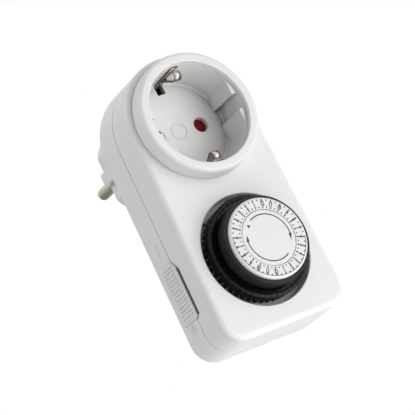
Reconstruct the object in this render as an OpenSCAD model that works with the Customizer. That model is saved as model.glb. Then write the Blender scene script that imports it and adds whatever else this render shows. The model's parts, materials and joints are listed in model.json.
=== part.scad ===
// Plug-in timer switch: a socket adapter with a 24-hour tappet dial.
// Lengths are in millimetres. The device stands as it hangs on a wall: +Z is up, the front
// faces -Y, and the origin is the middle of the plug's end face, between the two pins.
// Each sub-part is drawn on its back, with z running out of the front, and place() turns it up.

/* [Housing] */
// Distance from the socket's collar out to the round upper end of the housing
shoulder_w = 2.2; // [2:0.1:3]
// Width of the housing near its lower corners
body_bottom_w = 53.6; // [52.6:0.2:58]
// Distance from the dial axis down to the lower edge
foot_drop = 28.9; // [28:0.1:34]
// Depth of the housing from front face to back face
body_d = 26; // [26:0.2:30]
// Depth of the front shell, from the front face to the parting line
front_d = 12.4; // [12:0.1:13.4]
// Radius of the two lower corners, seen from the front
corner_r = 8.5; // [7.5:0.1:9.5]
// Radius of the front edge of the housing
front_edge_r = 2; // [0.6:0.1:2.3]
// Radius of the back edge of the housing
back_edge_r = 2.2; // [1:0.1:3]
// Wall thickness of both shells
wall = 2; // [1.6:0.1:2.1]
// Width of the shadow groove along the parting line
seam_w = 0.3; // [0.2:0.05:0.5]
// Depth of the shadow groove along the parting line
seam_depth = 0.7; // [0.3:0.1:0.9]

/* [Socket] */
// Width of the raised collar round the socket
collar_w = 3.7; // [3.5:0.1:4.2]
// Height of the collar above the front face
collar_h = 7.1; // [6.5:0.1:9]
// Edge radius of the collar's rim
collar_edge_r = 1.3; // [0.6:0.1:1.6]
// Radius of the socket well
well_r = 19.5; // [19.3:0.1:20]
// Depth of the well below the rim of the collar
well_depth = 17.5; // [17:0.1:18]
// Thickness of the well floor
floor_t = 2.2; // [1.8:0.1:2.4]
// Wall thickness of the well below the collar
well_wall = 1.9; // [1.6:0.1:2.1]
// Distance of the two flat guide pads from the socket axis
pad_x = 16.9; // [16.7:0.1:17.2]
// Depth of the pads' upper ends below the rim
pad_drop = 2.2; // [1.8:0.1:3]
// Width of the guide groove between the pads
groove_w = 6; // [5:0.1:6.4]
// Distance between the two contact holes, and between the plug pins
pin_pitch = 19; // [18.8:0.1:19.2]
// Radius of the contact holes
hole_r = 2.8; // [2.6:0.05:3]
// Radius of the raised ring in the middle of the floor
floor_ring_r = 3.3; // [3:0.1:4.5]
// Width of the slots that the earth clips come through
clip_slot_w = 3.4; // [3.3:0.1:4]
// Width of the earth clips
clip_w = 2.8; // [2.2:0.1:3]
// Sheet thickness of the clips, contacts and bars
sheet_t = 0.5; // [0.4:0.05:0.6]

/* [Shutter] */
// Radius of the shutter's two blades
shutter_r = 13.4; // [12.9:0.1:14]
// Half angle of one shutter blade
shutter_half = 19; // [18:0.5:20]
// Thickness of the shutter
shutter_t = 1.2; // [1:0.1:1.4]
// Radius of the pin that the shutter turns on
shutter_pin_r = 1.5; // [1.2:0.1:1.8]

/* [Plug] */
// Radius of the round plug body
plug_r = 18.4; // [18:0.1:18.6]
// Length of the plug body behind the housing
plug_l = 18; // [17.6:0.1:19]
// Distance of the plug's two flat sides from its axis
plug_flat = 16.3; // [16:0.1:16.6]
// Width of the guide rib on each flat side
rib_w = 4.6; // [4:0.1:5]
// Radius of the plug pins
pin_r = 2.4; // [2:0.05:2.45]
// Length of the plug pins beyond the plug body
pin_l = 19; // [18:0.5:20]
// Thickness of the end wall of the plug body
plug_end_t = 3; // [2.5:0.1:3.5]
// Inner radius of the plug body
plug_hollow_r = 13.4; // [13.2:0.1:13.8]
// Width of the earth contacts on the plug body
earth_w = 5; // [4:0.2:5.6]
// Distance of the earth contact faces from the plug axis
earth_face = 16.6; // [16.4:0.1:17]

/* [Dial] */
// Distance from the socket axis down to the dial axis
dial_drop = 51.9; // [51.5:0.1:53]
// Radius of the round recess that the dial turns in
pit_r = 21.2; // [20.8:0.1:21.6]
// Depth of the recess
pit_depth = 5.5; // [5.2:0.1:5.8]
// Thickness of the recess floor and wall
pit_wall = 1.6; // [1.4:0.1:1.8]
// Height of the dial's printed face above the front face
dial_h = 10.6; // [10:0.1:11.4]
// Outer radius of the knurled drum
drum_r = 16.6; // [16.3:0.1:16.7]
// Number of grip ribs round the drum
drum_ribs = 84; // [36:4:96]
// Depth of the grooves between the grip ribs
rib_depth = 0.15; // [0.1:0.05:0.4]
// Height of the gripping part of the drum
grip_h = 4.9; // [4:0.1:5]
// Outer radius of the printed number ring
number_r = 15.2; // [14.8:0.1:15.3]
// Edge radius of the number ring
number_edge_r = 0.9; // [0.5:0.1:1.1]
// Radius of the fixed centre disc
disc_r = 10.4; // [10:0.1:11]
// Radius of the tube that the drum turns on
axle_r = 5; // [4.5:0.1:5.5]

/* [Tappets] */
// Number of tappets round the dial
tappet_count = 48; // [48]
// Outer radius of the tappet ring
tappet_r = 19.4; // [19:0.1:19.8]
// Inner radius of the tappet ring
tappet_in_r = 16.1; // [16:0.1:16.5]
// Height of the tappets above the front face
tappet_h = 3; // [2.6:0.1:3.4]
// Depth of the tappets below the front face
tappet_below = 3.2; // [2.8:0.1:3.3]
// Angle that one tappet's head fills
tappet_angle = 7; // [6:0.1:7.1]
// Angle that one tappet's leg fills
leg_angle = 3.9; // [3:0.1:5]
// Travel of a tappet when it is pressed
tappet_travel = 2; // [1.6:0.1:2.1]

/* [Movement] */
// Module of all gear teeth
gear_m = 0.5; // [0.48:0.01:0.52]
// Backlash of the gear teeth, in modules
tooth_play = 0.35; // [0.3:0.01:0.45]
// Teeth of the ring gear inside the drum
ring_teeth = 50; // [50]
// Teeth of each pinion
pinion_teeth = 10; // [10]
// Teeth of each wheel
wheel_teeth = 40; // [40]
// Thickness of the wheels
wheel_t = 1; // [0.8:0.1:1.1]
// Angle of the second gear's axis, seen from the dial axis
gear_b_angle = 37; // [30:1:45]
// Angle of the first gear's axis, seen from the second gear
gear_a_angle = -69; // [-72:1:-60]
// Angle of the motor axis, seen from the first gear
motor_angle = 196; // [190:1:200]
// Radius of the gear axles
axle_pin_r = 0.8; // [0.6:0.05:0.9]

/* [Switch] */
// Angle of the tappet feeler, seen from the dial axis
feeler_angle = 129; // [126:1:140]
// Distance from the feeler to the lever's pivot
lever_l = 20; // [19:0.5:22]
// Width of the lever
lever_w = 3; // [2.4:0.1:3.4]
// Length of the override slider's pad
slider_l = 22; // [18:0.1:23]
// Travel of the override slider
slider_travel = 2; // [1:0.1:2.4]
// Distance from the dial axis down to the middle of the slider
slider_drop = 2.7; // [1:0.1:4]
// Distance from the back face to the slider's pad
slider_back = 4.3; // [3.6:0.1:5]
// Overlap of the slider's pad beyond the parting line
slider_over = 1.7; // [1:0.1:2]
// Width of the plain strips in front of and behind the slider's ribs
slider_plain = 1.7; // [1:0.1:3]
// Thickness of the slider's pad
slider_pad_t = 0.4; // [0.3:0.05:0.6]
// Height of the slider's ribs above its pad
slider_rib_h = 0.35; // [0.2:0.05:0.5]
// Number of grip ribs on the slider
slider_ribs = 15; // [8:1:17]
// Depth of the notch that the front shell has beside the slider
notch_h = 3; // [2.6:0.1:3.4]
// Length of the notch's sloping lower end
notch_slope = 1.4; // [0.6:0.1:2]
// Length of the notch's sloping upper end
notch_top_slope = 4; // [1:0.1:5]

/* [Fits] */
// Radial clearance of a part that turns on a pin or tube
run_gap = 0.06; // [0.04:0.01:0.09]
// Clearance between other parts that move past each other
slide_gap = 0.3; // [0.2:0.05:0.35]
// Clearance between fixed parts that fit into each other
fit_gap = 0.15; // [0.05:0.05:0.2]

/* [Hidden] */
$fn = 64;
e = 0.01;
tappet_groups = 12;
per_group = tappet_count / tappet_groups;
tappet_pitch = 360 / tappet_count;

// Levels along z, from the plug's end face at zero to the rim of the collar
collar_r = well_r + collar_w;
body_r = collar_r + shoulder_w;
body_drop = dial_drop + foot_drop;
back_z = plug_l;
inside_back_z = back_z + wall;
front_z = back_z + body_d;
seam_z = front_z - front_d;
inside_front_z = front_z - wall;
rim_z = front_z + collar_h;
well_floor_z = rim_z - well_depth;
floor_under_z = well_floor_z - floor_t;
shutter_z = floor_under_z - slide_gap - shutter_t;
carrier_t = 1.3;
carrier_z = shutter_z - slide_gap - carrier_t;
strap_z = carrier_z - sheet_t;
contact_low_z = strap_z - 14;
pit_floor_z = front_z - pit_depth;
pit_under_z = pit_floor_z - pit_wall;
dial_top_z = front_z + dial_h;
tappet_top_z = front_z + tappet_h;
tappet_low_z = front_z - tappet_below;

// Outline of the housing
corner_x = body_bottom_w / 2 - corner_r;
corner_y = corner_r - body_drop;
corner_dist = norm([corner_x, corner_y]);
wall_tilt = atan2(corner_x, -corner_y) - asin((body_r - corner_r) / corner_dist);
function half_width(y) = body_r / cos(wall_tilt) - y * tan(wall_tilt);

// Screws through the back, into posts in the front shell
screw_x = 19.5;
screw_y = [-24.5, 8.3 - body_drop];
screw_r = 1.25;
screw_head_r = 2.6;
post_r = 2.9;

// Socket
tube_r = well_r + well_wall;
lip_step = 0.3;
lip_edge_r = 0.5;
floor_ring_h = 0.15;
pad_l = 30;
lip_low_z = rim_z - pad_drop + 0.2;
clip_slot = [15, 18.6];
clip_foot_r = 17.9;
clip_wall_r = well_r - lip_step - 0.15 - sheet_t / 2;
clip_fork_z = well_floor_z + 5.3;
clip_top_z = lip_low_z - 0.3;
clip_bow = [well_r - 3.2, clip_top_z - 1.9];
clip_bow_r = 1.4;
strip_x = pin_pitch / 2;

// Dial
dial_y = -dial_drop;
drum_top_z = dial_top_z - 1.4;
plate_z = drum_top_z - 0.8;
plate_t = 1.6;
disc_z = plate_z + 0.4;
grip_z = drum_top_z - grip_h;
neck_r = tappet_in_r - slide_gap;
hub_r = axle_r + 1.6;
drum_low_z = pit_floor_z + 0.6;
key_w = 0.6;
key_depth = 0.9;

// Gear train
tooth_add = 0.8 * gear_m;
tooth_ded = 1.15 * gear_m;
ring_pitch_r = gear_m * ring_teeth / 2;
pinion_pitch_r = gear_m * pinion_teeth / 2;
wheel_pitch_r = gear_m * wheel_teeth / 2;
pinion_tip_r = pinion_pitch_r + tooth_add;
ring_root_r = ring_pitch_r + tooth_ded;
function polar(r, a) = [r * cos(a), r * sin(a)];
gear_b_pos = [0, dial_y] + polar(ring_pitch_r - pinion_pitch_r, gear_b_angle);
gear_a_pos = gear_b_pos + polar(wheel_pitch_r + pinion_pitch_r, gear_a_angle);
motor_pos = gear_a_pos + polar(wheel_pitch_r + pinion_pitch_r, motor_angle);
motor_r = body_drop - wall + motor_pos[1] - 2.8;
bridge_t = 1.2;
bridge_z = pit_under_z - slide_gap - bridge_t;
wheel_b_z = bridge_z - 0.5 - wheel_t;
wheel_a_z = wheel_b_z - 0.5 - wheel_t;
plate_under_t = 0.7;
motor_plate_z = wheel_a_z - 0.5 - plate_under_t;
motor_top_z = motor_plate_z;
ring_mesh_z = drum_low_z + 0.2;
ring_mesh_h = 3;
cutter_l = 12;

// Switch
feeler_r = (tappet_r + tappet_in_r) / 2;
feeler_pos = [0, dial_y] + polar(feeler_r, feeler_angle);
feeler_top_z = tappet_low_z - 0.4;
feeler_size = 2;
lever_t = 1.8;
barrel_r = 1.2;
lever_z = bridge_z - slide_gap - barrel_r - lever_t / 2;
pivot_y = feeler_pos[1] - lever_l;
pivot_z = lever_z + lever_t / 2;
pivot_pin_r = 0.7;
feeler_lean = (feeler_top_z - pivot_z) * tappet_travel / lever_l;
contact_gap = tappet_travel;
contact_y = feeler_pos[1] + 4;
rivet_h = 0.6;

// Override slider, on the left wall: it rests at the lower end of its travel
slider_y = dial_y - slider_drop;
slider_z = back_z + slider_back;
slider_w = seam_z + slider_over - slider_z;
slider_lift = 0.1;
slider_stem = [8, 5];
slider_stem_z = slider_z + 2;
slide_plate_t = 1.1;

// Turns a piece that is drawn on its back into the standing device
module place() rotate([90, 0, 0]) children();

// Points of a quarter circle of radius r round centre c, from angle a0 to a1
function arc(c, r, a0, a1, n = 6) =
  [for (i = [0:n]) c + polar(r, a0 + (a1 - a0) * i / n)];

// A disc whose outer edge is rounded at the far end and chamfered at the near end
module edged_disc(r, h, edge, chamfer, sides) {
  rotate_extrude($fn = sides)
    polygon(concat([[0, 0], [r - chamfer, 0], [r, chamfer]],
      arc([r - edge, h - edge], edge, 0, 90, 4), [[0, h]]));
}

// The housing's outline, filled from z = 0 to h and drawn in by inset
module body_block(h, edge, chamfer, inset) {
  hull() {
    edged_disc(body_r - inset, h, edge, chamfer, 96);
    for (s = [-1, 1])
      translate([s * corner_x, corner_y, 0])
        edged_disc(corner_r - inset, h, edge, chamfer, 40);
  }
}

// Moves a piece onto the left wall: x points into the housing, y runs up along the wall
module on_left_wall(y) {
  translate([-half_width(y), y, 0]) rotate([0, 0, -wall_tilt]) children();
}

module at_screws() {
  for (s = [-1, 1], y = screw_y) translate([s * screw_x, y, 0]) children();
}

// A bent strip of sheet, t thick, along a list of points
function unit(v) = v / norm(v);
function left_of(v) = [-v[1], v[0]];
function miter(p, i) =
  let (n = len(p) - 1)
  let (a = left_of(unit(p[min(i + 1, n)] - p[min(i, n - 1)])))
  let (b = left_of(unit(p[max(i, 1)] - p[max(i - 1, 0)])))
  (a + b) / (1 + a * b);
module strip(points, t) {
  n = len(points) - 1;
  polygon(concat([for (i = [0:n]) points[i] + miter(points, i) * t / 2],
    [for (i = [n:-1:0]) points[i] - miter(points, i) * t / 2]));
}

// Outline of a gear with straight flanks; an inner gear has its spaces where the teeth are
function gear_points(teeth, add, ded, thick) =
  let (r = gear_m * teeth / 2)
  let (tip = (thick / 2 - add * tan(20)) / (r + add), root = (thick / 2 + ded * tan(20)) / (r - ded))
  [for (i = [0:teeth - 1], k = [[-1, r - ded, root], [-1, r + add, tip],
      [1, r + add, tip], [1, r - ded, root]])
    polar(k[1], i * 360 / teeth + k[0] * k[2] * 180 / PI)];
tooth_thick = (PI / 2 - tooth_play) * gear_m;
module gear(teeth, h) linear_extrude(h) polygon(gear_points(teeth, tooth_add, tooth_ded, tooth_thick));

module front_shell() color("white") place() {
  difference() {
    union() {
      difference() {
        translate([0, 0, seam_z]) body_block(front_d, front_edge_r, e, 0);
        translate([0, 0, seam_z - 1]) body_block(front_d - wall + 1, e, e, wall);
      }
      translate([0, dial_y, pit_under_z])
        cylinder(r = pit_r + pit_wall, h = inside_front_z - pit_under_z + e, $fn = 96);
      at_screws() translate([0, 0, seam_z]) cylinder(r = post_r, h = inside_front_z - seam_z + e);
    }
    translate([0, 0, inside_front_z - 1]) cylinder(r = tube_r + fit_gap, h = wall + 2, $fn = 96);
    translate([0, dial_y, pit_floor_z]) cylinder(r = pit_r, h = pit_depth + 1, $fn = 96);
    translate([0, dial_y, front_z - 0.4])
      cylinder(r1 = pit_r - 0.1, r2 = pit_r + 0.4, h = 0.5, $fn = 96);
    at_screws() translate([0, 0, seam_z - 1]) cylinder(r = screw_r, h = 8);
    translate([gear_b_pos[0], gear_b_pos[1], pit_under_z - 1])
      cylinder(r = pinion_tip_r + slide_gap, h = pit_wall + 2);
    translate([feeler_pos[0], feeler_pos[1], pit_under_z - 1] - (feeler_size / 2 + slide_gap) * [1, 1, 0])
      cube([feeler_size + 2 * slide_gap, feeler_size + 2 * slide_gap + feeler_lean, pit_wall + 2]);
    slider_notch();
  }
  translate([0, dial_y, pit_floor_z - e]) difference() {
    cylinder(r = axle_r, h = disc_z - pit_floor_z + e);
    translate([0, 0, 2]) cylinder(r = 2.4, h = disc_z - pit_floor_z);
  }
}

// Outline of the slider's pad, seen from the left, with its front corners cut as the notch is
module pad_outline() {
  half = slider_l / 2;
  front = slider_z + slider_w;
  cut = slider_over / notch_h;
  polygon([[-half, slider_z], [half, slider_z], [half, seam_z], [half - notch_top_slope * cut, front],
    [-half + notch_slope * cut, front], [-half, seam_z]]);
}

// Notch in the front shell's edge beside the slider
module slider_notch() {
  half = slider_l / 2 + slide_gap;
  on_left_wall(slider_y) translate([-1, 0, 0]) rotate([90, 0, 90]) linear_extrude(wall + 2)
    polygon([[-half, seam_z - 1], [half, seam_z - 1], [half, seam_z],
      [half - notch_top_slope, seam_z + notch_h], [-half + notch_slope, seam_z + notch_h],
      [-half, seam_z]]);
}

// Slot in the rear shell's wall that the slider's stem moves in, hidden by the pad
module stem_slot() {
  on_left_wall(slider_y) translate([-1, -slider_stem[0] / 2 - slide_gap, slider_stem_z - slide_gap])
    cube([wall + 2, slider_stem[0] + slider_travel + 2 * slide_gap, slider_stem[1] + 2 * slide_gap]);
}

// Cross-section of the plug body: a circle with two flats, each with a guide rib
module plug_outline() {
  intersection() {
    circle(r = plug_r, $fn = 96);
    union() {
      square([2 * plug_flat, 3 * plug_r], center = true);
      square([3 * plug_r, rib_w], center = true);
    }
  }
}

module rear_shell() color("white") place() {
  difference() {
    union() {
      difference() {
        union() {
          translate([0, 0, seam_z - seam_w]) mirror([0, 0, 1])
            body_block(body_d - front_d - seam_w, back_edge_r, e, 0);
          translate([0, 0, seam_z - 2 * seam_w]) body_block(2 * seam_w, e, e, seam_depth);
        }
        translate([0, 0, seam_z + 1]) mirror([0, 0, 1])
          body_block(body_d - front_d - wall + 1, e, e, wall);
      }
      translate([0, 0, 0.6]) linear_extrude(plug_l + wall - 0.6) plug_outline();
      linear_extrude(0.6 + e) offset(delta = -0.4) plug_outline();
      for (s = [-1, 1]) translate([s * 17, 0, inside_back_z - e])
        cylinder(r = 2, h = carrier_z - inside_back_z + e);
      at_screws() translate([0, 0, back_z + e]) cylinder(r = post_r + 0.4, h = seam_z - back_z - e);
    }
    translate([0, 0, plug_end_t]) cylinder(r = plug_hollow_r, h = plug_l + wall);
    for (s = [-1, 1]) {
      translate([s * strip_x, 0, -1]) cylinder(r = pin_neck_r + fit_gap / 3, h = plug_end_t + 2);
      rotate(s > 0 ? 0 : 180) earth_slot();
    }
    at_screws() {
      translate([0, 0, back_z - 1]) cylinder(r = screw_r + fit_gap, h = body_d);
      translate([0, 0, back_z - 1]) cylinder(r = screw_head_r + fit_gap, h = 4);
    }
    stem_slot();
  }
}

// Slot of an earth contact: open along the plug body, then through into its hollow
earth_slot_l = 14;
earth_bend_z = 11;
module earth_slot() {
  slot_w = earth_w + 2 * fit_gap;
  slot_y = earth_face - sheet_t - fit_gap;
  translate([-slot_w / 2, slot_y, -1]) cube([slot_w, plug_r - slot_y + 1, earth_slot_l + 1]);
  translate([-slot_w / 2, plug_hollow_r - 1.4, earth_bend_z])
    cube([slot_w, slot_y - plug_hollow_r + 1.4 + e, 5]);
}

// Cup of the socket, with the raised collar, guide pads and slots for the earth clips
module socket_insert() color("white") place() {
  difference() {
    union() {
      rotate_extrude($fn = 96) polygon(concat(
        [[0, floor_under_z], [tube_r, floor_under_z], [tube_r, front_z + e],
          [collar_r - 0.35, front_z + e], [collar_r - 0.35, front_z + 0.4],
          [collar_r, front_z + 0.4]],
        arc([collar_r - collar_edge_r, rim_z - collar_edge_r], collar_edge_r, 0, 90),
        arc([well_r + lip_edge_r, rim_z - lip_edge_r], lip_edge_r, 90, 180, 4),
        [[well_r, lip_low_z], [well_r - lip_step, lip_low_z]],
        arc([well_r - lip_step - 1, well_floor_z + 1], 1, 0, -90), [[0, well_floor_z]]));
      for (s = [-1, 1]) intersection() {
        translate([0, 0, well_floor_z - e]) cylinder(r = well_r + 0.2, h = well_depth - pad_drop);
        difference() {
          translate([s > 0 ? pad_x : -pad_x - 5, -pad_l / 2, floor_under_z + e])
            cube([5, pad_l, well_depth]);
          translate([-30, -groove_w / 2, floor_under_z]) cube([60, groove_w, well_depth + 2]);
        }
      }
      translate([0, 0, well_floor_z - e]) difference() {
        cylinder(r = floor_ring_r, h = floor_ring_h);
        translate([0, 0, -1]) cylinder(r = floor_ring_r - 0.6, h = 2);
      }
      translate([0, 0, shutter_z - slide_gap]) cylinder(r = shutter_pin_r, h = well_floor_z - shutter_z);
    }
    for (s = [-1, 1]) {
      translate([s * strip_x, 0, floor_under_z - 1]) cylinder(r = hole_r, h = floor_t + 2);
      translate([s * strip_x, 0, well_floor_z - 0.4]) cylinder(r1 = hole_r - 0.1, r2 = hole_r + 0.4, h = 0.5);
      translate([-clip_slot_w / 2, s > 0 ? clip_slot[0] : -clip_slot[1], floor_under_z - 1])
        cube([clip_slot_w, clip_slot[1] - clip_slot[0], floor_t + 2]);
    }
  }
}

// Plate behind the well floor that keeps the shutter in and carries the contacts
spring_hole_r = 4.6;
module contact_carrier() color("gainsboro") place() {
  difference() {
    union() {
      translate([0, 0, carrier_z]) cylinder(r = tube_r, h = carrier_t);
      translate([0, 0, carrier_z]) difference() {
        cylinder(r = tube_r, h = floor_under_z - carrier_z);
        translate([0, 0, -1]) cylinder(r = tube_r - 1.4, h = floor_under_z - carrier_z + 2);
      }
    }
    translate([0, 0, carrier_z - 1]) cylinder(r = spring_hole_r, h = carrier_t + 2);
    for (s = [-1, 1]) {
      translate([s * strip_x, 0, carrier_z - 1]) cylinder(r = hole_r + 0.4, h = carrier_t + 2);
      translate([-clip_slot_w / 2, s > 0 ? clip_slot[0] : -clip_slot[1], carrier_z - 1])
        cube([clip_slot_w, clip_slot[1] - clip_slot[0], carrier_t + 2]);
    }
  }
}

// Rotary child guard behind the contact holes
module shutter() color("firebrick") place() {
  translate([0, 0, shutter_z]) linear_extrude(shutter_t) difference() {
    union() {
      circle(r = 3.6);
      for (s = [0, 180]) rotate(s) intersection() {
        circle(r = shutter_r);
        polygon([[0, 0], polar(2 * shutter_r, -shutter_half), polar(2 * shutter_r, shutter_half)]);
      }
    }
    circle(r = shutter_pin_r + run_gap);
  }
}

// Spring that turns the shutter back over the holes: an open coil with two legs
spring_r = 3.7;
spring_open = 70;
module shutter_spring() color("silver") place() translate([0, 0, carrier_z]) {
  rotate(spring_open / 2) rotate_extrude(angle = 360 - spring_open)
    translate([spring_r - sheet_t / 2, 0]) square([sheet_t, carrier_t - 0.1]);
  for (s = [-1, 1]) rotate(s * spring_open / 2) translate([spring_r, -sheet_t / 2, 0])
    cube([spring_hole_r - spring_r - 0.02, sheet_t, carrier_t - 0.1]);
}

// Spring clip for the earth: a back leaf along the wall and a leaf that bows towards the plug
module earth_clip() {
  fork = [clip_wall_r, clip_fork_z];
  rotate([90, 0, 90]) linear_extrude(clip_w, center = true) {
    strip([[clip_foot_r, strap_z + sheet_t], [clip_foot_r, well_floor_z - 0.4],
      [clip_wall_r - 0.6, well_floor_z + 1.6], fork, [clip_wall_r, clip_top_z]], sheet_t);
    strip(concat([fork], arc(clip_bow, clip_bow_r, 205, 75), [clip_bow + [1.5, 1.2]]), sheet_t);
  }
}
module earth_clip_upper() color("silver") place() earth_clip();
module earth_clip_lower() color("silver") place() rotate(180) earth_clip();

// Strap that joins the two earth clips behind the contact carrier
module earth_strap() color("silver") place() {
  translate([-clip_w / 2, -clip_foot_r - 1, strap_z])
    cube([clip_w, 2 * clip_foot_r + 2, sheet_t]);
}

// Forked spring contact that grips an inserted pin
module socket_contact() {
  top_z = carrier_z - 0.4;
  low_z = contact_low_z;
  rotate([90, 0, 0]) linear_extrude(4.4, center = true)
    strip([[-3, top_z], [-2.2, top_z - 3], [-2.6, low_z + 2.4], [-1.6, low_z], [1.6, low_z],
      [2.6, low_z + 2.4], [2.2, top_z - 3], [3, top_z]], sheet_t);
}
module neutral_contact() color("goldenrod") place() translate([-strip_x, 0, 0]) socket_contact();
module line_contact() color("goldenrod") place() translate([strip_x, 0, 0]) socket_contact();

// Bar from a plug pin's root up beside the socket contact, bent along a list of points
root_z = plug_end_t + 1.4;
stub_r = 1.4;
bar_w = 4;
riser_y = -3.6;
bar_z = inside_back_z + 0.3;
module bar(points) {
  difference() {
    rotate([90, 0, 90]) linear_extrude(bar_w, center = true)
      strip(concat([[2, root_z + sheet_t / 2], [riser_y, root_z + sheet_t / 2]], points), sheet_t);
    translate([0, 0, root_z - 1]) cylinder(r = stub_r + 0.1, h = 2);
  }
}
module neutral_bar() color("goldenrod") place()
  translate([-strip_x, 0, 0]) bar([[riser_y, contact_low_z - sheet_t], [2, contact_low_z - sheet_t]]);
module line_bar() color("goldenrod") place() {
  end_x = feeler_pos[0] - bar_w / 2;
  translate([strip_x, 0, 0])
    bar([[riser_y, bar_z + sheet_t / 2], [contact_y, bar_z + sheet_t / 2]]);
  translate([end_x, contact_y - bar_w / 2, bar_z]) cube([strip_x + bar_w / 2 - end_x, bar_w, sheet_t]);
}

pin_tip_r = 1.6;
pin_neck_r = pin_r + 0.45;
pin_neck_l = 0.5;
module plug_pin() {
  rotate_extrude() polygon(concat([[0, -pin_l]],
    arc([pin_r - pin_tip_r, pin_tip_r - pin_l], pin_tip_r, -90, 0),
    [[pin_r, -pin_neck_l], [pin_neck_r, -pin_neck_l], [pin_neck_r, plug_end_t],
      [pin_neck_r + 0.6, plug_end_t], [pin_neck_r + 0.6, root_z], [stub_r, root_z],
      [stub_r, root_z + 1.2], [0, root_z + 1.2]]));
}
module plug_pin_neutral() color("#82826f") place() translate([-strip_x, 0, 0]) plug_pin();
module plug_pin_line() color("#82826f") place() translate([strip_x, 0, 0]) plug_pin();

// Earth contact in the slot on the plug body
module plug_earth() {
  rotate([90, 0, 90]) linear_extrude(earth_w, center = true)
    strip([[earth_face - sheet_t / 2, 1], [earth_face - sheet_t / 2, earth_bend_z + 1],
      [plug_hollow_r - 0.8, earth_bend_z + 3.6], [plug_hollow_r - 0.8, back_z]], sheet_t);
}
module plug_earth_upper() color("silver") place() plug_earth();
module plug_earth_lower() color("silver") place() rotate(180) plug_earth();

module housing_screws() color("silver") place() {
  at_screws() difference() {
    union() {
      translate([0, 0, back_z + 1]) cylinder(r = screw_head_r, h = 2);
      translate([0, 0, back_z + 1]) cylinder(r = screw_r, h = seam_z + 6 - back_z);
    }
    for (a = [0, 90]) translate([0, 0, back_z + 1]) rotate(a) cube([3, 0.7, 1.8], center = true);
  }
}

// Turning drum of the dial, with the grip, the tappet guides and the ring gear
module dial_drum() color("#1a1a1c") place() translate([0, dial_y, 0]) {
  rim_in_r = number_r + fit_gap;
  difference() {
    union() {
      difference() {
        linear_extrude_at(grip_z, grip_h) grip_outline();
        translate([0, 0, drum_top_z - 0.3]) difference() {
          cylinder(r = drum_r + 2, h = 2);
          translate([0, 0, -1]) cylinder(r1 = drum_r + 1.05, r2 = drum_r - 1.95, h = 3);
        }
      }
      translate([0, 0, drum_low_z]) cylinder(r = neck_r, h = plate_z - drum_low_z, $fn = 96);
    }
    translate([0, 0, plate_z]) cylinder(r = rim_in_r, h = 5, $fn = 96);
    translate([0, 0, drum_low_z - 1]) difference() {
      cylinder(r = ring_root_r + 0.2, h = plate_z - plate_t - drum_low_z + 1, $fn = 96);
      translate([0, 0, -1]) cylinder(r = hub_r, h = 20);
    }
    translate([0, 0, drum_low_z - 1]) cylinder(r = axle_r + run_gap, h = 20);
    for (i = [0:tappet_count - 1]) rotate((i + 0.5) * tappet_pitch)
      translate([neck_r - key_depth, -key_w / 2 - 0.2, drum_low_z - 1])
        cube([key_depth + 1, key_w + 0.4, grip_z - drum_low_z + 1]);
  }
  translate([0, 0, ring_mesh_z]) linear_extrude(ring_mesh_h) difference() {
    circle(r = ring_root_r + 0.5, $fn = 96);
    rotate(gear_b_angle)
      polygon(gear_points(ring_teeth, tooth_ded, tooth_add, (PI / 2 + tooth_play) * gear_m));
  }
}
module linear_extrude_at(z, h) translate([0, 0, z]) linear_extrude(h) children();

// Round outline with shallow grip grooves
module grip_outline() {
  step = 360 / drum_ribs;
  polygon([for (i = [0:drum_ribs - 1], k = [[-0.38, 0], [-0.2, 1], [0.2, 1], [0.38, 0]])
    polar(drum_r - rib_depth * (1 - k[1]), (i + k[0]) * step)]);
}

module number_ring() color("white") place() translate([0, dial_y, 0]) {
  rotate_extrude($fn = 96) polygon(concat([[disc_r + 0.2, plate_z], [number_r, plate_z]],
    arc([number_r, dial_top_z] - number_edge_r * [1, 1], number_edge_r, 0, 90),
    [[disc_r + 0.2, dial_top_z]]));
}

module centre_disc() color("white") place() translate([0, dial_y, 0]) {
  rotate_extrude($fn = 96) polygon([[0, pit_floor_z + 4], [2.2, pit_floor_z + 4], [2.2, disc_z],
    [disc_r, disc_z], [disc_r, dial_top_z - 0.15], [disc_r - 0.15, dial_top_z], [0, dial_top_z]]);
}

// One group of neighbouring tappets: wide heads on narrower legs, each with its own guide key
module tappets(group) color("#1a1a1c") place() translate([0, dial_y, 0]) {
  head_z = front_z - 0.3;
  edge_r = 0.7;
  for (i = [0:per_group - 1]) rotate((group * per_group + i + 0.5) * tappet_pitch) {
    rotate(-tappet_angle / 2) rotate_extrude(angle = tappet_angle, $fn = 96)
      polygon(concat([[tappet_in_r, head_z], [tappet_r, head_z]],
        arc([tappet_r - edge_r, tappet_top_z - edge_r], edge_r, 0, 90, 3),
        [[tappet_r - 1.4, tappet_top_z], [tappet_r - 1.6, tappet_top_z - 0.3],
          [tappet_in_r, tappet_top_z - 0.3]]));
    rotate(-leg_angle / 2) rotate_extrude(angle = leg_angle, $fn = 96)
      translate([tappet_in_r, tappet_low_z])
        square([tappet_r - 0.15 - tappet_in_r, head_z + e - tappet_low_z]);
    translate([neck_r - key_depth + 0.2, -key_w / 2, tappet_low_z])
      cube([key_depth + slide_gap, key_w, tappet_top_z - tappet_low_z - 1]);
  }
}
module tappets_00() tappets(0);
module tappets_01() tappets(1);
module tappets_02() tappets(2);
module tappets_03() tappets(3);
module tappets_04() tappets(4);
module tappets_05() tappets(5);
module tappets_06() tappets(6);
module tappets_07() tappets(7);
module tappets_08() tappets(8);
module tappets_09() tappets(9);
module tappets_10() tappets(10);
module tappets_11() tappets(11);

// Synchronous motor in its sealed can
module motor_can() color("silver") place() translate([motor_pos[0], motor_pos[1], 0]) {
  difference() {
    union() {
      translate([0, 0, inside_back_z]) cylinder(r = motor_r, h = motor_top_z - inside_back_z);
      translate([0, 0, inside_back_z + 2]) cylinder(r = motor_r + 0.6, h = 0.8);
    }
    translate([0, 0, motor_top_z - 4]) cylinder(r = axle_pin_r + run_gap, h = 5);
  }
}

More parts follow.
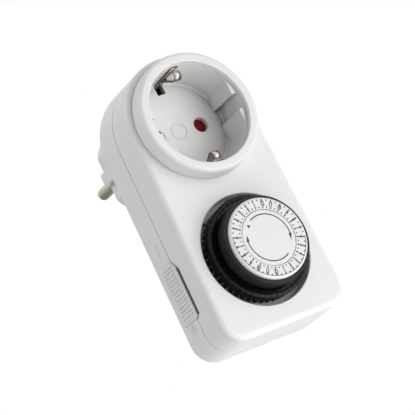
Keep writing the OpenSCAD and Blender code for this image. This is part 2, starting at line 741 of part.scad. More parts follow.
module motor_pinion() color("goldenrod") place() translate([motor_pos[0], motor_pos[1], 0]) {
  translate([0, 0, motor_top_z - 3.5]) cylinder(r = axle_pin_r, h = wheel_a_z - motor_top_z + 4);
  translate([0, 0, wheel_a_z]) rotate(motor_angle + 180) gear(pinion_teeth, wheel_t + 0.2);
}

// Metal plate on the motor that the gear axles stand in
module motor_plate() color("silver") place() {
  translate([0, 0, motor_plate_z]) linear_extrude(plate_under_t) difference() {
    union() {
      translate(motor_pos) circle(r = motor_r - 2);
      translate(gear_a_pos) circle(r = 5);
      translate(gear_b_pos) circle(r = 3.4);
      translate(gear_b_pos) rotate(gear_a_angle) translate([0, -2.4])
        square([wheel_pitch_r + pinion_pitch_r, 4.8]);
    }
    translate(motor_pos) circle(r = pinion_tip_r + slide_gap);
    translate(gear_a_pos) circle(r = axle_pin_r);
    translate(gear_b_pos) circle(r = axle_pin_r);
  }
}

// First reduction gear: a wheel on the motor pinion and a pinion for the next wheel
module gear_a() color("ivory") place() translate([gear_a_pos[0], gear_a_pos[1], 0]) difference() {
  union() {
    translate([0, 0, wheel_a_z]) rotate(motor_angle + 180 / wheel_teeth) gear(wheel_teeth, wheel_t);
    translate([0, 0, wheel_a_z]) rotate(gear_a_angle + 180)
      gear(pinion_teeth, wheel_b_z + wheel_t + 0.2 - wheel_a_z);
  }
  translate([0, 0, wheel_a_z - 1]) cylinder(r = axle_pin_r + run_gap, h = cutter_l);
}

// Second reduction gear: its long pinion reaches through the recess floor to the drum
module gear_b() color("ivory") place() translate([gear_b_pos[0], gear_b_pos[1], 0]) difference() {
  union() {
    translate([0, 0, wheel_b_z]) rotate(gear_a_angle + 180 / wheel_teeth) gear(wheel_teeth, wheel_t);
    translate([0, 0, wheel_b_z]) rotate(gear_b_angle)
      gear(pinion_teeth, ring_mesh_z + ring_mesh_h - wheel_b_z);
  }
  translate([0, 0, wheel_b_z - 1]) cylinder(r = axle_pin_r + run_gap, h = cutter_l);
}

module axle_a() color("silver") place() translate([gear_a_pos[0], gear_a_pos[1], motor_plate_z])
  cylinder(r = axle_pin_r, h = bridge_z + bridge_t - motor_plate_z);
module axle_b() color("silver") place() translate([gear_b_pos[0], gear_b_pos[1], motor_plate_z])
  cylinder(r = axle_pin_r, h = wheel_b_z + 8 - motor_plate_z);

// Upper plate of the movement, with its pillars and the ears of the switch lever
module gear_bridge() color("gainsboro") place() {
  ear_x = [feeler_pos[0] - lever_w / 2 - slide_gap - 1.2, feeler_pos[0] + lever_w / 2 + slide_gap];
  pillar = [motor_pos + polar(motor_r - 4, 250), motor_pos + polar(motor_r - 4, 300)];
  difference() {
    union() {
      translate([0, 0, bridge_z]) linear_extrude(bridge_t) union() {
        translate([ear_x[0], pivot_y - 2.5]) square([motor_pos[0] - ear_x[0] + 6, 5]);
        translate([motor_pos[0] - 3, pillar[0][1] - 2]) square([6, pivot_y - pillar[0][1] + 4]);
        translate([motor_pos[0] - 3, pivot_y - 2.5])
          square([gear_a_pos[0] - motor_pos[0] + 3, 5]);
        translate(gear_a_pos) circle(r = 4);
        translate(gear_b_pos) circle(r = pinion_tip_r + slide_gap + 2);
        translate(gear_b_pos) rotate(gear_a_angle) translate([0, -2.2])
          square([wheel_pitch_r + pinion_pitch_r, 4.4]);
        for (p = pillar) translate(p) circle(r = 2.4);
        translate(pillar[0] - [0, 2]) square([pillar[1][0] - pillar[0][0], 4]);
      }
      for (p = pillar) translate([p[0], p[1], motor_plate_z + plate_under_t])
        cylinder(r = 1.6, h = bridge_z - motor_plate_z - plate_under_t + e);
      for (x = ear_x) translate([x, pivot_y - 2, lever_z - 0.6])
        cube([1.2, 4, bridge_z - lever_z + 0.6 + e]);
    }
    translate([gear_a_pos[0], gear_a_pos[1], bridge_z - 1]) cylinder(r = axle_pin_r, h = bridge_t + 2);
    translate([gear_b_pos[0], gear_b_pos[1], bridge_z - 1])
      cylinder(r = pinion_tip_r + slide_gap, h = bridge_t + 2);
    translate([ear_x[0] - 1, pivot_y, pivot_z]) rotate([0, 90, 0]) cylinder(r = pivot_pin_r, h = cutter_l);
  }
}

// Rocking lever: its feeler stands under the tappets and its end carries the contact
module switch_lever() color("ivory") place() {
  x = feeler_pos[0] - lever_w / 2;
  difference() {
    union() {
      translate([x, pivot_y, lever_z]) cube([lever_w, contact_y + 2 - pivot_y, lever_t]);
      translate([x, pivot_y, pivot_z]) rotate([0, 90, 0]) cylinder(r = barrel_r, h = lever_w);
      translate([feeler_pos[0] - feeler_size / 2, feeler_pos[1] - feeler_size / 2, lever_z])
        cube([feeler_size, feeler_size, feeler_top_z - lever_z]);
    }
    translate([x - 1, pivot_y, pivot_z]) rotate([0, 90, 0])
      cylinder(r = pivot_pin_r + run_gap, h = lever_w + 2);
  }
}

module lever_pin() color("silver") place()
  translate([feeler_pos[0] - lever_w / 2 - slide_gap - 1.2, pivot_y, pivot_z]) rotate([0, 90, 0])
    cylinder(r = pivot_pin_r, h = lever_w + 2 * slide_gap + 2.4);

// Contact blade under the lever, with its rivet
module moving_contact() color("goldenrod") place() {
  translate([feeler_pos[0] - 1.3, feeler_pos[1] - 6, lever_z - sheet_t])
    cube([2.6, contact_y + 1.6 - feeler_pos[1] + 6, sheet_t]);
  translate([feeler_pos[0], contact_y, lever_z - sheet_t - rivet_h]) cylinder(r = 1.2, h = rivet_h + e);
}

module fixed_contact() color("goldenrod") place() {
  top_z = lever_z - sheet_t - 2 * rivet_h - contact_gap - 0.6;
  foot_z = bar_z + sheet_t;
  translate([feeler_pos[0] - 2, contact_y - 2, foot_z]) cube([sheet_t, 4, top_z - foot_z]);
  translate([feeler_pos[0] - 2, contact_y - 2, top_z - sheet_t]) cube([4, 4, sheet_t]);
  translate([feeler_pos[0], contact_y, top_z - e]) cylinder(r = 1.2, h = rivet_h);
}

// Override slider: a ribbed pad on the wall, a stem through it and a plate behind it
module override_slider() color("white") place() on_left_wall(slider_y) {
  half = slider_l / 2;
  step = (slider_l - 1) / slider_ribs;
  translate([-slider_lift - slider_pad_t, 0, 0]) intersection() {
    rotate([90, 0, 90]) linear_extrude(slider_pad_t) pad_outline();
    translate([0, 0, slider_z]) linear_extrude(slider_w)
      polygon([[0, -half + slider_pad_t], [slider_pad_t, -half], [slider_pad_t, half],
        [0, half - slider_pad_t]]);
  }
  for (i = [0:slider_ribs - 1])
    translate([-slider_lift - slider_pad_t, 0.5 - half + (i + 0.25) * step, slider_z + slider_plain])
      rib(step / 2, slider_w - 2 * slider_plain);
  translate([-slider_lift - e, -slider_stem[0] / 2, slider_stem_z])
    cube([wall + slider_lift + slide_gap + 2 * e, slider_stem[0], slider_stem[1]]);
  translate([wall + slide_gap, -slider_stem[0], slider_stem_z - 1])
    cube([slide_plate_t, 2 * slider_stem[0], slider_stem[1] + 2]);
  translate([wall + slide_gap, -4, slider_stem_z + 1]) cube([slide_plate_t + 3, 3, 2]);
}

// A grip rib with sloping flanks, w wide and l long
module rib(w, l) {
  linear_extrude(l) polygon([[e, 0], [-slider_rib_h, w * 0.3], [-slider_rib_h, w * 0.7], [e, w]]);
}

// Leaf spring that holds the slider at either end of its travel
spring_leaf_t = 0.3;
module slider_spring() color("silver") place() on_left_wall(slider_y) {
  bow_x = wall + slide_plate_t + 2 * slide_gap + spring_leaf_t / 2;
  translate([0, 0, inside_back_z]) linear_extrude(slider_stem_z - inside_back_z + 0.5)
    strip([[bow_x + 0.8, -11], [bow_x, -8], [bow_x + 0.8, -5], [bow_x + 0.8, 4]], spring_leaf_t);
}

front_shell();
rear_shell();
socket_insert();
contact_carrier();
shutter();
shutter_spring();
earth_clip_upper();
earth_clip_lower();
earth_strap();
neutral_contact();
line_contact();
neutral_bar();
line_bar();
plug_pin_neutral();
plug_pin_line();
plug_earth_upper();
plug_earth_lower();
housing_screws();
dial_drum();
number_ring();
centre_disc();
tappets_00();
tappets_01();
tappets_02();
tappets_03();
tappets_04();
tappets_05();
tappets_06();
tappets_07();
tappets_08();
tappets_09();
tappets_10();
tappets_11();
motor_can();
motor_pinion();
motor_plate();
gear_a();
gear_b();
axle_a();
axle_b();
gear_bridge();
switch_lever();
lever_pin();
moving_contact();
fixed_contact();
override_slider();
slider_spring();
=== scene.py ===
# Looks of the plug-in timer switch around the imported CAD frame: finishes, marks moulded on the
# wall, earth clips, printed dial, stage, lamps and camera. Blender works in metres. The drawings
# of the marks, the clips and the dial are in millimetres, which MM turns into metres.
import json
import math
import bpy
import bmesh
from mathutils import Matrix, Vector


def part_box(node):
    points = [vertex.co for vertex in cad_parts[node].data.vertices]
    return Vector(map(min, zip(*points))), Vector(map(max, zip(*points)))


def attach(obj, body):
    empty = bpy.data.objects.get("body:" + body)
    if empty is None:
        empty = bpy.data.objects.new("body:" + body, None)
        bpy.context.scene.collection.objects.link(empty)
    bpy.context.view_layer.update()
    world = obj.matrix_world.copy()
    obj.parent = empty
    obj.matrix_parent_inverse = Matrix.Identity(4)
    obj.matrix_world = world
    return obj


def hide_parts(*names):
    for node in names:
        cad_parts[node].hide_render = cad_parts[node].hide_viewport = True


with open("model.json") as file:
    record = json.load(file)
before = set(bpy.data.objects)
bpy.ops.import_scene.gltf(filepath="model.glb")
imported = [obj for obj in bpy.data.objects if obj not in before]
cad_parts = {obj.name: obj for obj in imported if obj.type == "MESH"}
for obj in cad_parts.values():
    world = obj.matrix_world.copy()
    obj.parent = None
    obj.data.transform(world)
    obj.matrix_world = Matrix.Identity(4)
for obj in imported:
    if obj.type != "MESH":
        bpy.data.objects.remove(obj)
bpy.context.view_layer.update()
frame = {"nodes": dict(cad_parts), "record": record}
nodes = frame["nodes"]
MM = 0.001

# ---------------------------------------------------------------- materials
# The values between which nearly all of a noise lies
NOISE_LOW = 0.3
NOISE_HIGH = 0.7
# Scale of the slow drift of colour, and height of the fine grain in metres
DRIFT_SCALE = 90
GRAIN_DEPTH = 0.00002
# Openness at which the painted shade in a slot is darkest and at which it ends, and the share
# of its colour that the darkest painted shade keeps
SLOT_SHUT = 0.15
SLOT_OPEN = 0.66
SLOT_SHARE = 0.03
# Upward part of a face's normal at which the painted shade of an underside is full and at which
# it ends
UNDER_FULL = -0.7
UNDER_NONE = 0.5
# Rays for each sample of a slot's openness and of a rounded edge
SLOT_RAYS = 8
EDGE_RAYS = 6


def node_material(name):
    """A new material, its node tree and its Principled node."""
    mat = bpy.data.materials.new(name)
    mat.use_nodes = True
    tree = mat.node_tree
    return mat, tree, tree.nodes["Principled BSDF"]


def remap(tree, value, start, stop, low, high):
    """Carries a value from the range start..stop to low..high and holds it at both ends."""
    ramp = tree.nodes.new("ShaderNodeMapRange")
    ramp.inputs["From Min"].default_value = start
    ramp.inputs["From Max"].default_value = stop
    ramp.inputs["To Min"].default_value = low
    ramp.inputs["To Max"].default_value = high
    tree.links.new(value, ramp.inputs["Value"])
    return ramp.outputs["Result"]


def noise(tree, scale, detail, rough, stretch=None):
    """Noise in the object's own space; stretch makes it finer along each axis by a factor."""
    coords = tree.nodes.new("ShaderNodeTexCoord")
    place = coords.outputs["Object"]
    if stretch:
        mapping = tree.nodes.new("ShaderNodeMapping")
        mapping.inputs["Scale"].default_value = stretch
        tree.links.new(place, mapping.inputs["Vector"])
        place = mapping.outputs["Vector"]
    tex = tree.nodes.new("ShaderNodeTexNoise")
    tex.inputs["Scale"].default_value = scale
    tex.inputs["Detail"].default_value = detail
    tex.inputs["Roughness"].default_value = rough
    tree.links.new(place, tex.inputs["Vector"])
    return tex.outputs["Fac"]


def spread(tree, fac, low, high):
    """A noise spread over low..high."""
    return remap(tree, fac, NOISE_LOW, NOISE_HIGH, low, high)


def darken(tree, tint, share):
    """The colour tint times the value share."""
    product = tree.nodes.new("ShaderNodeVectorMath")
    product.operation = "SCALE"
    tree.links.new(tint, product.inputs["Vector"])
    tree.links.new(share, product.inputs["Scale"])
    return product.outputs["Vector"]


def shade_slots(tree, tint, reach, alone):
    """Paints shade into the colour where walls within reach metres shut a place in, or only where
    the piece's own walls do if alone.
    """
    openness = tree.nodes.new("ShaderNodeAmbientOcclusion")
    openness.samples = SLOT_RAYS
    openness.only_local = alone
    openness.inputs["Distance"].default_value = reach
    share = remap(tree, openness.outputs["AO"], SLOT_SHUT, SLOT_OPEN, SLOT_SHARE, 1)
    return darken(tree, tint, share)


def shade_underside(tree, tint, least):
    """Paints shade on faces that look down: they keep only the share least of the colour, a
    painted reflection of a darker room."""
    shape = tree.nodes.new("ShaderNodeNewGeometry")
    axes = tree.nodes.new("ShaderNodeSeparateXYZ")
    tree.links.new(shape.outputs["Normal"], axes.inputs["Vector"])
    share = remap(tree, axes.outputs["Z"], UNDER_FULL, UNDER_NONE, least, 1)
    return darken(tree, tint, share)


def surface(name, colour, vary, rough, rough_vary, grain, bump, metal=0, stretch=None,
            spec=0.5, soft=0, slot_shade_reach=0, alone=False, under_shade_share=1):
    """A moulded or metal surface. Its colour drifts by the share vary and its gloss by
    rough_vary. It has a fine grain of the scale grain and the strength bump, which stretch makes
    finer along each axis. Sharp edges catch the light as if they were rounded by soft metres.
    Shade is painted into the colour where walls within slots metres close in, and alone counts
    only the piece's own walls.
    Faces that look down get painted shade and keep the share under of the colour."""
    mat, tree, bsdf = node_material(name)
    drift = tree.nodes.new("ShaderNodeMix")
    drift.data_type = "RGBA"
    drift.inputs["A"].default_value = [c * (1 - vary) for c in colour] + [1]
    drift.inputs["B"].default_value = [min(c * (1 + vary), 1) for c in colour] + [1]
    broad = noise(tree, DRIFT_SCALE, detail=2, rough=0.55)
    tree.links.new(spread(tree, broad, 0, 1), drift.inputs["Factor"])
    tint = drift.outputs["Result"]
    # painted shade in each slot, hole and corner
    if slot_shade_reach:
        tint = shade_slots(tree, tint, slot_shade_reach, alone)
    # painted shade on faces that look down
    if under_shade_share < 1:
        tint = shade_underside(tree, tint, under_shade_share)
    tree.links.new(tint, bsdf.inputs["Base Color"])

    fine = noise(tree, grain, detail=4, rough=0.6, stretch=stretch)
    gloss = spread(tree, fine, rough - rough_vary, rough + rough_vary)
    tree.links.new(gloss, bsdf.inputs["Roughness"])
    bumps = tree.nodes.new("ShaderNodeBump")
    bumps.inputs["Strength"].default_value = bump
    bumps.inputs["Distance"].default_value = GRAIN_DEPTH
    tree.links.new(fine, bumps.inputs["Height"])
    tree.links.new(bumps.outputs["Normal"], bsdf.inputs["Normal"])
    if soft:
        edge = tree.nodes.new("ShaderNodeBevel")
        edge.samples = EDGE_RAYS
        edge.inputs["Radius"].default_value = soft
        tree.links.new(edge.outputs["Normal"], bumps.inputs["Normal"])
    bsdf.inputs["Metallic"].default_value = metal
    bsdf.inputs["Specular IOR Level"].default_value = spec
    return mat


# Some finishes below get painted shade in each slot, hole and corner where walls close in
FINISHES = {
    # plastics
    "shell_white": dict(colour=(0.71, 0.71, 0.705), vary=0.012, rough=0.42, rough_vary=0.05,
                        grain=3200, bump=0.12, soft=0.00022, slot_shade_reach=0.007, alone=True),
    "slider_white": dict(colour=(0.70, 0.70, 0.69), vary=0.015, rough=0.45, rough_vary=0.05,
                         grain=3200, bump=0.12, soft=0.00012),
    "dial_white": dict(colour=(0.685, 0.685, 0.68), vary=0.01, rough=0.4, rough_vary=0.04,
                       grain=2600, bump=0.06, soft=0.0002),
    "inner_plastic": dict(colour=(0.62, 0.62, 0.60), vary=0.03, rough=0.5, rough_vary=0.06,
                          grain=2400, bump=0.1, slot_shade_reach=0.008),
    "gear_plastic": dict(colour=(0.80, 0.78, 0.70), vary=0.02, rough=0.4, rough_vary=0.05,
                         grain=2400, bump=0.08),
    "shutter_red": dict(colour=(0.19, 0.005, 0.013), vary=0.08, rough=0.45, rough_vary=0.06,
                        grain=2200, bump=0.1, spec=0.15, slot_shade_reach=0.0012),
    "drum_black": dict(colour=(0.006, 0.006, 0.0065), vary=0.12, rough=0.42, rough_vary=0.08,
                       grain=2600, bump=0.2, spec=0.2, soft=0.0002),
    "tappet_black": dict(colour=(0.005, 0.005, 0.0055), vary=0.12, rough=0.12, rough_vary=0.04,
                         grain=2200, bump=0.1, spec=0.13, soft=0.0003),
    # The clips' strip and the plug's pins get painted shade on their faces that look down
    # metals
    "nickel_strip": dict(colour=(0.62, 0.57, 0.5), vary=0.06, rough=0.15, rough_vary=0.05,
                         grain=900, bump=0.25, metal=1, stretch=(1, 1, 6), soft=0.0001,
                         under_shade_share=0.7),
    # Near-black cut edges of the clips' strip: partly the bare cut metal, partly painted shade
    # along the edges
    "nickel_edge": dict(colour=(0.07, 0.055, 0.04), vary=0.1, rough=0.35, rough_vary=0.08,
                        grain=900, bump=0.25, metal=1),
    "nickel_pin": dict(colour=(0.54, 0.53, 0.42), vary=0.1, rough=0.22, rough_vary=0.08,
                       grain=700, bump=0.3, metal=1, stretch=(6, 1, 6), under_shade_share=0.3),
    "brass_strip": dict(colour=(0.70, 0.50, 0.22), vary=0.06, rough=0.3, rough_vary=0.08,
                        grain=900, bump=0.2, metal=1),
    "brass_pinion": dict(colour=(0.72, 0.52, 0.24), vary=0.06, rough=0.3, rough_vary=0.08,
                         grain=900, bump=0.2, metal=1),
    "zinc_steel": dict(colour=(0.55, 0.56, 0.58), vary=0.07, rough=0.34, rough_vary=0.09,
                       grain=500, bump=0.2, metal=1, soft=0.0001),
    "axle_steel": dict(colour=(0.5, 0.51, 0.53), vary=0.05, rough=0.25, rough_vary=0.06,
                       grain=900, bump=0.15, metal=1),
    "spring_steel": dict(colour=(0.36, 0.37, 0.39), vary=0.06, rough=0.3, rough_vary=0.06,
                         grain=900, bump=0.15, metal=1),
    # ink
    "print_black": dict(colour=(0.012, 0.012, 0.013), vary=0.15, rough=0.55, rough_vary=0.05,
                        grain=2600, bump=0.05),
}
MATERIALS = {name: surface(name, **finish) for name, finish in FINISHES.items()}

# Faces of a CAD part that meet at less than this angle are shaded as one curve
SMOOTH_BELOW = math.radians(32)

for part in frame["record"]["subparts"]:
    obj = nodes[part["node"]]
    obj.data.materials.clear()
    obj.data.materials.append(MATERIALS[part["material_slot"]])
    obj.data.shade_smooth()
    with bpy.context.temp_override(object=obj, active_object=obj, selected_objects=[obj],
                                   selected_editable_objects=[obj]):
        bpy.ops.object.shade_smooth_by_angle(angle=SMOOTH_BELOW)

# ---------------------------------------------------------------- mesh helpers
# Points of a mesh that lie closer than this many metres become one
WELD = 1e-6


def add_mesh(name, bm, material, body):
    """Makes bm a piece of the part, which rides on a body and takes its finish from a slot."""
    mesh = bpy.data.meshes.new(name)
    bmesh.ops.recalc_face_normals(bm, faces=bm.faces)
    bm.to_mesh(mesh)
    bm.free()
    obj = bpy.data.objects.new(name, mesh)
    bpy.context.scene.collection.objects.link(obj)
    mesh.materials.append(MATERIALS[material])
    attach(obj, body)
    return obj


def sweep(bm, rows, closed=False):
    """Joins rows of corners into a bar, whose ends are capped, or meet if it is closed. Returns
    a list of faces for each of the bar's sides, the first between the last corner and the
    first, and a list of the caps."""
    rings = [[bm.verts.new(corner) for corner in row] for row in rows]
    following = rings[1:]
    if closed:
        following.append(rings[0])
    sides = [[bm.faces.new((a[k - 1], a[k], b[k], b[k - 1])) for a, b in zip(rings, following)]
             for k in range(len(rings[0]))]
    caps = [] if closed else [bm.faces.new(rings[0]), bm.faces.new(rings[-1])]
    return sides, caps


def on_circle(centre, radius, angle):
    """Point of a circle in a flat drawing, at an angle in degrees from its first axis."""
    a = math.radians(angle)
    return centre[0] + radius * math.cos(a), centre[1] + radius * math.sin(a)


# ---------------------------------------------------------------- marks moulded on the left wall
REAR_SHELL = nodes["rear_shell"]
# Y of the line where the shells part, and an X clear of the left wall
PARTING_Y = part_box("rear_shell")[0].y
LEFT_OF_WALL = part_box("rear_shell")[0].x - 0.01
# How far a mark stands proud of the wall and reaches into it, in metres
MARK_RISE = 0.0002
MARK_SINK = 0.00005
# The marks' middles: height above the socket's axis and depth behind the parting line, in mm
ON_MARK = (-37.3, 5.2)
CLOCK_MARK = (-68.3, 5.0)
# Their sizes in mm
STROKE = 0.55
ON_HALF = 2.0
CLOCK_R = 2.0
CLOCK_SIDES = 20
MINUTE_HAND = 1.1
HOUR_HAND = 0.9
HAND_STROKE = STROKE * 0.8


def on_wall(height, depth):
    """The foot and the head of a mark at one place on the left wall."""
    start = Vector((LEFT_OF_WALL, PARTING_Y + depth * MM, height * MM))
    _, spot, normal, _ = REAR_SHELL.ray_cast(start, Vector((1, 0, 0)))
    return spot - normal * MARK_SINK, spot + normal * MARK_RISE


def mark_stroke(bm, start, stop, width):
    """A straight raised stroke between two places on the wall."""
    start = Vector(start)
    stop = Vector(stop)
    along = (stop - start).normalized()
    side = Vector((-along.y, along.x)) * width / 2
    corners = (start + side, start - side, stop - side, stop + side)
    feet, heads = zip(*(on_wall(*corner) for corner in corners))
    sweep(bm, (feet, heads))


def mark_ring(bm, centre, radius, width, sides):
    """A raised ring on the wall, of that outer radius."""
    rows = []
    for k in range(sides):
        angle = 360 * k / sides
        outer_foot, outer_head = on_wall(*on_circle(centre, radius, angle))
        inner_foot, inner_head = on_wall(*on_circle(centre, radius - width, angle))
        rows.append((outer_foot, outer_head, inner_head, inner_foot))
    sweep(bm, rows, closed=True)


def mark_on():
    """The sign for on, a plain stroke above the slider."""
    height, depth = ON_MARK
    bm = bmesh.new()
    mark_stroke(bm, (height + ON_HALF, depth), (height - ON_HALF, depth), STROKE)
    add_mesh("mark_on", bm, "shell_white", "housing")


def mark_clock():
    """The sign for timed, a clock's ring and its two hands below the slider."""
    height, depth = CLOCK_MARK
    bm = bmesh.new()
    mark_ring(bm, CLOCK_MARK, CLOCK_R, STROKE, CLOCK_SIDES)
    mark_stroke(bm, CLOCK_MARK, (height + MINUTE_HAND, depth), HAND_STROKE)
    mark_stroke(bm, CLOCK_MARK, (height, depth - HOUR_HAND), HAND_STROKE)
    add_mesh("mark_clock", bm, "shell_white", "housing")


mark_on()
mark_clock()

# ---------------------------------------------------------------- earth clips in the well
# A clip's side view gives the distance from the socket's axis and the height above the well's
# floor, in mm. It has a leaf that stands on the well's wall, and a spring leaf that leaves it
# near its foot and ends in a bow.
WELL_DEPTH = 17.5
WELL_FLOOR_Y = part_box("socket_insert")[0].y + WELL_DEPTH * MM
CLIP_FOOT = (WELL_FLOOR_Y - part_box("earth_clip_upper")[1].y) / MM
CLIP_WIDTH = 2.8
CLIP_THICKNESS = 0.44
CLIP_FOOT_R = 17.9
CLIP_WALL_R = 18.8
CLIP_TOP = 15.0
WALL_LEAF = [
    (CLIP_FOOT_R, CLIP_FOOT),
    (CLIP_FOOT_R, -0.6),
    (CLIP_FOOT_R + 0.1, 0.2),
    (CLIP_WALL_R - 0.1, 1.8),
    (CLIP_WALL_R, 2.4),
    (CLIP_WALL_R, CLIP_TOP),
]
SPRING_FOOT = [
    (CLIP_WALL_R - 0.3, 4.8),
    (CLIP_WALL_R - 1.0, 5.7),
]
BOW_CENTRE = (16.3, 12.9)
BOW_R = 1.75
# Angles at which the bow starts and ends, in degrees, and the steps between them
BOW_START = 200
BOW_END = 45
BOW_STEPS = 14


def bow():
    """The points of the spring leaf's bow."""
    turn = (BOW_END - BOW_START) / BOW_STEPS
    return [on_circle(BOW_CENTRE, BOW_R, BOW_START + turn * i) for i in range(BOW_STEPS + 1)]


def leaf(bm, path):
    """A strip of sheet along a path of the clip's side view. Its cut edges take the piece's
    second material, a near black that is partly the bare cut metal and partly painted shade."""
    rows = []
    for i, point in enumerate(path):
        here = Vector(point)
        before = Vector(path[max(i - 1, 0)])
        after = Vector(path[min(i + 1, len(path) - 1)])
        along = (after - before).normalized()
        across = Vector((-along.y, along.x)) * CLIP_THICKNESS / 2
        corners = ((-1, here + across), (1, here + across), (1, here - across),
                   (-1, here - across))
        rows.append([(side * CLIP_WIDTH / 2 * MM, WELL_FLOOR_Y - spot.y * MM, spot.x * MM)
                     for side, spot in corners])
    (left_edge, near_face, right_edge, far_face), ends = sweep(bm, rows)
    for face in near_face + far_face:
        face.smooth = True
    for face in left_edge + right_edge + ends:
        face.material_index = 1


def earth_clip(name, turn):
    """Both leaves of one earth clip, turned about the socket's axis from the top of the well."""
    bm = bmesh.new()
    leaf(bm, WALL_LEAF)
    leaf(bm, SPRING_FOOT + bow())
    bmesh.ops.rotate(bm, verts=bm.verts, matrix=Matrix.Rotation(math.radians(turn), 3, "Y"))
    clip = add_mesh(name + "_leaves", bm, "nickel_strip", "housing")
    # the cut edges' near black is partly painted shade
    clip.data.materials.append(MATERIALS["nickel_edge"])
    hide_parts(name)


earth_clip("earth_clip_upper", 0)
earth_clip("earth_clip_lower", 180)

# ---------------------------------------------------------------- print on the dial
# Radii and widths are in mm, angles in degrees anticlockwise from +X as seen from the front
RING_LOW, RING_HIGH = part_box("number_ring")
FACE_Y = RING_LOW.y
DIAL_X = (RING_LOW.x + RING_HIGH.x) / 2
DIAL_Z = (RING_LOW.z + RING_HIGH.z) / 2
# How far the ink stands proud of the face and reaches into it, in metres
INK = 0.00003
INK_SINK = 0.00001
# Degrees between the points of a printed arc
ARC_STEP = 3

HOURS = 24
HOUR_STEP = 360 / HOURS
FIRST_HOUR = 4
FIRST_ANGLE = 133.5
# Rows of ticks: inner radius, outer radius, degrees past the hour, width
TICK_ROWS = (
    (13.5, 14.3, 0, 0.48),
    (10.95, 11.75, 0, 0.48),
    (13.65, 14.2, HOUR_STEP / 2, 0.44),
    (11.1, 11.6, HOUR_STEP / 2, 0.44),
)
# The line that joins the outer ticks of half the day: its start and end are counted in hours
# past the first
HALF_DAY_R = 14.25
HALF_DAY_WIDTH = 0.2
HALF_DAY_START = 2
HALF_DAY_END = 14

NUMBER_R = 12.72
NUMBER_SIZE = 2.3
NUMBER_NARROW = 0.66
# How far the font's outlines are moved out to make the numbers bolder, in metres
NUMBER_BOLD = 0.00012
# Steps along each curve of the font's outlines
NUMBER_STEPS = 3

ARROW_R = 8.75
ARROW_WIDTH = 0.42
ARROW_HEAD = 0.62
# How much nearer the dial's middle the tip of an arrow lies than its line
ARROW_BEND = 0.1
# Degrees by which the line reaches past the neck into the head
ARROW_LAP = 1
# The pointer beside the ring, in line with the first hour
POINTER_BASE_R = 7.9
POINTER_TIP_R = 9.15
POINTER_HALF = 5


def on_dial(radius, angle):
    """Point on the dial's printed face."""
    a = math.radians(angle)
    return Vector((DIAL_X + radius * MM * math.cos(a), FACE_Y, DIAL_Z + radius * MM * math.sin(a)))


def ink_polygon(bm, points):
    """A printed patch: a thin slab that stands INK proud of the dial's face."""
    sweep(bm, [[(p.x, y, p.z) for p in points] for y in (FACE_Y + INK_SINK, FACE_Y - INK)])


def ink_arc(bm, radius, width, start, stop):
    """A line round the dial's middle from one angle to another."""
    steps = max(2, int(abs(stop - start) / ARC_STEP))
    angles = [start + (stop - start) * i / steps for i in range(steps + 1)]
    outer = [on_dial(radius + width / 2, angle) for angle in angles]
    inner = [on_dial(radius - width / 2, angle) for angle in angles]
    ink_polygon(bm, outer + inner[::-1])


def ink_tick(bm, inner, outer, angle, width):
    """A straight tick between two radii."""
    half = math.degrees(width / (inner + outer))
    ink_polygon(bm, [on_dial(inner, angle - half), on_dial(outer, angle - half),
                     on_dial(outer, angle + half), on_dial(inner, angle + half)])


def ink_arrow(bm, start, neck, tip):
    """An arrow that runs clockwise round the dial's middle, with its head from neck to tip."""
    ink_arc(bm, ARROW_R, ARROW_WIDTH, start, neck - ARROW_LAP)
    ink_polygon(bm, [on_dial(ARROW_R + ARROW_HEAD, neck), on_dial(ARROW_R - ARROW_BEND, tip),
                     on_dial(ARROW_R - ARROW_HEAD, neck)])


def dial_ticks():
    """Ticks at the hours and half hours, and the line along half the day."""
    bm = bmesh.new()
    for k in range(HOURS):
        for inner, outer, past, width in TICK_ROWS:
            ink_tick(bm, inner, outer, FIRST_ANGLE + HOUR_STEP * k + past, width)
    ink_arc(bm, HALF_DAY_R, HALF_DAY_WIDTH, FIRST_ANGLE + HOUR_STEP * HALF_DAY_START,
            FIRST_ANGLE + HOUR_STEP * HALF_DAY_END)
    add_mesh("dial_ticks", bm, "print_black", "dial")


def hour_number(k):
    """The number k hours past the first, with its top pointing outward."""
    name = f"hour_{k:02d}"
    text = bpy.data.curves.new(name, "FONT")
    text.body = str((k + FIRST_HOUR - 1) % 12 + 1)
    text.size = NUMBER_SIZE * MM
    text.align_x = "CENTER"
    text.align_y = "CENTER"
    text.extrude = INK / 2
    text.offset = NUMBER_BOLD
    text.resolution_u = NUMBER_STEPS
    letters = bpy.data.objects.new(name, text)
    mesh = bpy.data.meshes.new_from_object(letters)
    bpy.data.objects.remove(letters)

    angle = FIRST_ANGLE + HOUR_STEP * k
    centre = on_dial(NUMBER_R, angle)
    place = Matrix.Translation((centre.x, FACE_Y - INK / 2, centre.z))
    turn = Matrix.Rotation(math.radians(90 - angle), 4, "Y")
    # stands the font's flat letters up on the dial's face
    upright = Matrix.Rotation(math.radians(90), 4, "X")
    narrow = Matrix.Diagonal((NUMBER_NARROW, 1, 1, 1))
    bm = bmesh.new()
    bm.from_mesh(mesh)
    bm.transform(place @ turn @ upright @ narrow)
    bmesh.ops.remove_doubles(bm, verts=bm.verts, dist=WELD)
    add_mesh(name, bm, "print_black", "dial")


def centre_arrows():
    """The two arrows that show which way the dial turns, and the pointer to the ring."""
    bm = bmesh.new()
    ink_arrow(bm, start=117, neck=-7, tip=-23.5)
    ink_arrow(bm, start=-61, neck=-186, tip=-203)
    ink_polygon(bm, [on_dial(POINTER_BASE_R, FIRST_ANGLE - POINTER_HALF),
                     on_dial(POINTER_TIP_R, FIRST_ANGLE),
                     on_dial(POINTER_BASE_R, FIRST_ANGLE + POINTER_HALF)])
    add_mesh("centre_arrows", bm, "print_black", "housing")


dial_ticks()
for k in range(HOURS):
    hour_number(k)
centre_arrows()

# ---------------------------------------------------------------- stage
FLOOR_Z = -0.6
FLOOR_HALF = 3.0
FLOOR_GLOW = 0.5
# Strength of the light that the world casts on the part
WORLD_LIGHT = 0.41


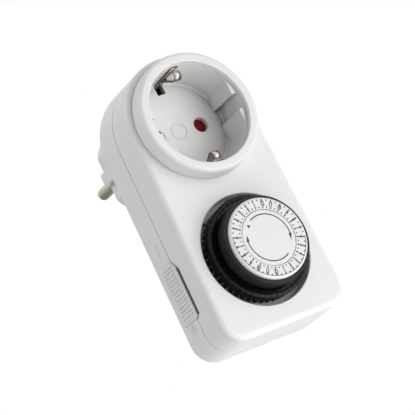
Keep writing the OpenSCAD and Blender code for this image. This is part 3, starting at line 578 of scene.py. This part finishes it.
def by_view(tree, cast, seen):
    """The value seen where the camera, a reflection or a see-through surface looks, and the
    value cast for the light that falls on the part."""
    path = tree.nodes.new("ShaderNodeLightPath")
    looked_at = path.outputs["Is Camera Ray"]
    for kind in ("Is Glossy Ray", "Is Transmission Ray"):
        either = tree.nodes.new("ShaderNodeMath")
        either.operation = "MAXIMUM"
        tree.links.new(looked_at, either.inputs[0])
        tree.links.new(path.outputs[kind], either.inputs[1])
        looked_at = either.outputs[0]
    return remap(tree, looked_at, 0, 1, cast, seen)


def pale_floor():
    """A plain floor with a glow that makes it look pale and doesn't light the part."""
    mat, tree, bsdf = node_material("pale_floor")
    bsdf.inputs["Base Color"].default_value = (0.8, 0.8, 0.8, 1)
    bsdf.inputs["Roughness"].default_value = 0.7
    bsdf.inputs["Emission Color"].default_value = (1, 1, 1, 1)
    tree.links.new(by_view(tree, 0, FLOOR_GLOW), bsdf.inputs["Emission Strength"])
    corners = [(x * FLOOR_HALF, y * FLOOR_HALF, FLOOR_Z)
               for x, y in ((-1, -1), (1, -1), (1, 1), (-1, 1))]
    mesh = bpy.data.meshes.new("floor")
    mesh.from_pydata(corners, [], [(0, 1, 2, 3)])
    mesh.materials.append(mat)
    floor = bpy.data.objects.new("floor", mesh)
    bpy.context.scene.collection.objects.link(floor)


def white_world():
    """A world that looks white and casts a soft light from all sides."""
    world = bpy.data.worlds.new("studio")
    bpy.context.scene.world = world
    world.use_nodes = True
    tree = world.node_tree
    background = tree.nodes["Background"]
    background.inputs["Color"].default_value = (1, 1, 1, 1)
    tree.links.new(by_view(tree, WORLD_LIGHT, 1), background.inputs["Strength"])


pale_floor()
white_world()

# ---------------------------------------------------------------- lamps
# The place that every lamp faces
MIDDLE = Vector((0, -0.035, -0.03))


def softbox(name, direction, distance, size, energy):
    """A round soft lamp that stands distance metres from the part's middle and faces it. Its
    size is the diameter in metres and its energy the power in watts."""
    light = bpy.data.lights.new(name, "AREA")
    light.shape = "DISK"
    light.size = size
    light.energy = energy
    lamp = bpy.data.objects.new(name, light)
    bpy.context.scene.collection.objects.link(lamp)
    towards = Vector(direction).normalized()
    lamp.location = MIDDLE + towards * distance
    lamp.rotation_euler = (-towards).to_track_quat("-Z", "Y").to_euler()


softbox("key", direction=(0.6, -1, -0.6), distance=1.0, size=0.62, energy=4.0)
softbox("front_right", direction=(0.6, -1, 0), distance=1.0, size=1.0, energy=3.6)
softbox("front_low", direction=(0, -1, -0.7), distance=1.0, size=0.9, energy=1.25)
softbox("below", direction=(0, -0.3, -1), distance=0.5, size=0.5, energy=1.2)
softbox("left_high", direction=(-1, 0.1, 0.9), distance=0.8, size=0.6, energy=2.35)

# ---------------------------------------------------------------- camera, fitted to the photograph
# Side of the photograph and focal length in its pixels, and the sensor's side in mm
PHOTO_SIDE = 415
FOCAL_PIXELS = 2300.636
SENSOR_SIDE = 36
# Where the camera stands in metres, and its turns about X, Y and Z in degrees
CAMERA_PLACE = (-0.439963, -0.705859, -0.187285)
CAMERA_TURNS = (102.35082, 25.66140, -27.55769)

lens = bpy.data.cameras.new("camera")
lens.sensor_width = SENSOR_SIDE
lens.lens = FOCAL_PIXELS * SENSOR_SIDE / PHOTO_SIDE
lens.clip_start = 0.05
lens.clip_end = 20
camera = bpy.data.objects.new("camera", lens)
bpy.context.scene.collection.objects.link(camera)
camera.location = CAMERA_PLACE
camera.rotation_euler = [math.radians(turn) for turn in CAMERA_TURNS]
bpy.context.scene.camera = camera
bpy.context.scene.view_settings.view_transform = "Standard"
